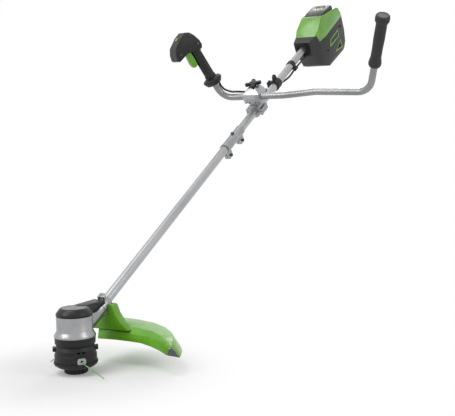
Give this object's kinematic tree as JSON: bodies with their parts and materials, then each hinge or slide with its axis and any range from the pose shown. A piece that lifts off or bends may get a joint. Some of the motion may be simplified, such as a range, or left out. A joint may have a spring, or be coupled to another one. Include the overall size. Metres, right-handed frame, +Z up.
{
  "type": "brush cutter",
  "caption": "Battery brush cutter with a line head, side guard, straight shaft, bike handlebar with trigger grip, harness eye and rear battery housing.",
  "frame": {"origin": "centre of the bump knob's flat underside, on the cutting head's axis", "axes": "+Z up along the cutting head's axis, +Y back along the machine to the battery, +X to the operator's left"},
  "size_m": [0.7535, 1.7033, 1.0422],
  "materials": {
    "black_plastic": "fine moulded grain",
    "green_plastic": "semi-gloss moulded",
    "cast_aluminium": "satin die-cast",
    "tube_aluminium": "brushed, clear anodised",
    "bar_metal": "grey powder coat",
    "grip_rubber": "soft ribbed",
    "grey_plastic": "satin",
    "steel": "zinc plated",
    "dark_steel": "blackened",
    "line_nylon": "extruded nylon",
    "copper": "enamelled wire",
    "brass_contact": "plain",
    "board_green": "solder resist",
    "cable_rubber": "smooth",
    "cell_wrap": "shrink film"
  },
  "bodies": {
    "root": {"motor_base_ring": "black_plastic", "stator": "dark_steel", "windings": "copper", "motor_bearings": "steel", "motor_housing": "cast_aluminium", "motor_cap": "black_plastic", "housing_screws": "steel", "guard": "green_plastic", "guard_screws": "steel", "line_cutter": "steel", "lower_tube": "tube_aluminium", "upper_tube": "tube_aluminium", "coupler_sleeve": "cast_aluminium", "coupler_locator": "dark_steel", "clamp_screws": "dark_steel", "bar_clamp_base": "cast_aluminium", "bar_clamp_strap": "cast_aluminium", "bar_clamp_cap": "cast_aluminium", "clamp_stud": "steel", "shaft_cable": "cable_rubber", "hanger_clamp": "black_plastic", "cable_clip": "black_plastic", "motor_lead": "cable_rubber", "nose_collar": "black_plastic", "rear_lower_shell": "black_plastic", "rear_upper_shell": "green_plastic", "side_trims": "green_plastic", "shell_screws": "dark_steel", "battery_tray": "black_plastic", "battery_terminals": "brass_contact", "control_board": "board_green"},
    "bar": {"handlebar": "bar_metal", "far_grip": "grip_rubber", "grip_end_cap": "grey_plastic", "hand_flange": "black_plastic", "control_shell_inner": "black_plastic", "control_shell_outer": "black_plastic", "control_screws": "dark_steel", "microswitch": "grey_plastic", "trigger_pin": "steel", "bar_cable": "cable_rubber"},
    "clamp_knob": {"star_knob": "black_plastic"},
    "trigger_lever": {"trigger": "green_plastic"},
    "lock_button": {"lock_off": "green_plastic"},
    "power_key": {"power_button": "green_plastic"},
    "cutter": {"head_body": "black_plastic", "head_lower_cap": "black_plastic", "line_eyelets": "cast_aluminium", "cutting_lines": "line_nylon", "spindle": "steel", "rotor": "dark_steel", "rotor_magnets": "dark_steel"},
    "spool_drum": {"spool": "grey_plastic", "bump_spring": "steel"},
    "bump": {"bump_knob": "black_plastic"},
    "battery": {"battery_pack": "black_plastic", "battery_cells": "cell_wrap"},
    "latch": {"battery_latch": "grey_plastic"}
  },
  "joints": [
    {"name": "bar_roll", "type": "hinge", "parent": "root", "child": "bar", "pos_m": [0, 0.9686, 0.69334], "axis": [1, 0, 0], "range_deg": [-20, 20]},
    {"name": "knob_turn", "type": "hinge", "parent": "root", "child": "clamp_knob", "pos_m": [0, 0.98679, 0.70384], "axis": [0, -0.5, 0.866], "range_deg": [0, 360]},
    {"name": "trigger_pull", "type": "hinge", "parent": "bar", "child": "trigger_lever", "pos_m": [-0.18603, 0.85072, 0.85075], "axis": [0.8325, -0.5524, -0.0433], "range_deg": [0, 12], "stiffness_Nm_per_rad": 0.5, "springref_deg": -14.32},
    {"name": "lock_press", "type": "slide", "parent": "bar", "child": "lock_button", "axis": [-0.4806, -0.6811, -0.5524], "range_m": [0, 0.004], "stiffness_N_per_m": 400, "springref_m": -0.004},
    {"name": "power_press", "type": "slide", "parent": "bar", "child": "power_key", "axis": [0.4751, 0.7518, -0.4572], "range_m": [0, 0.0015], "stiffness_N_per_m": 600, "springref_m": -0.002},
    {"name": "cutter_spin", "type": "hinge", "parent": "root", "child": "cutter", "pos_m": [0, 0, 0.05], "axis": [0, 0, 1], "continuous": true},
    {"name": "spool_turn", "type": "hinge", "parent": "cutter", "child": "spool_drum", "pos_m": [0, 0, 0.05], "axis": [0, 0, 1], "continuous": true},
    {"name": "bump_press", "type": "slide", "parent": "spool_drum", "child": "bump", "axis": [0, 0, 1], "range_m": [0, 0.006], "stiffness_N_per_m": 900, "springref_m": -0.004, "deforming": ["bump_spring"]},
    {"name": "battery_slide", "type": "slide", "parent": "root", "child": "battery", "axis": [0, -0.5, 0.866], "range_m": [0, 0.12]},
    {"name": "latch_press", "type": "slide", "parent": "battery", "child": "latch", "axis": [0, 0.5, -0.866], "range_m": [0, 0.003], "stiffness_N_per_m": 500, "springref_m": -0.003}
  ]
}
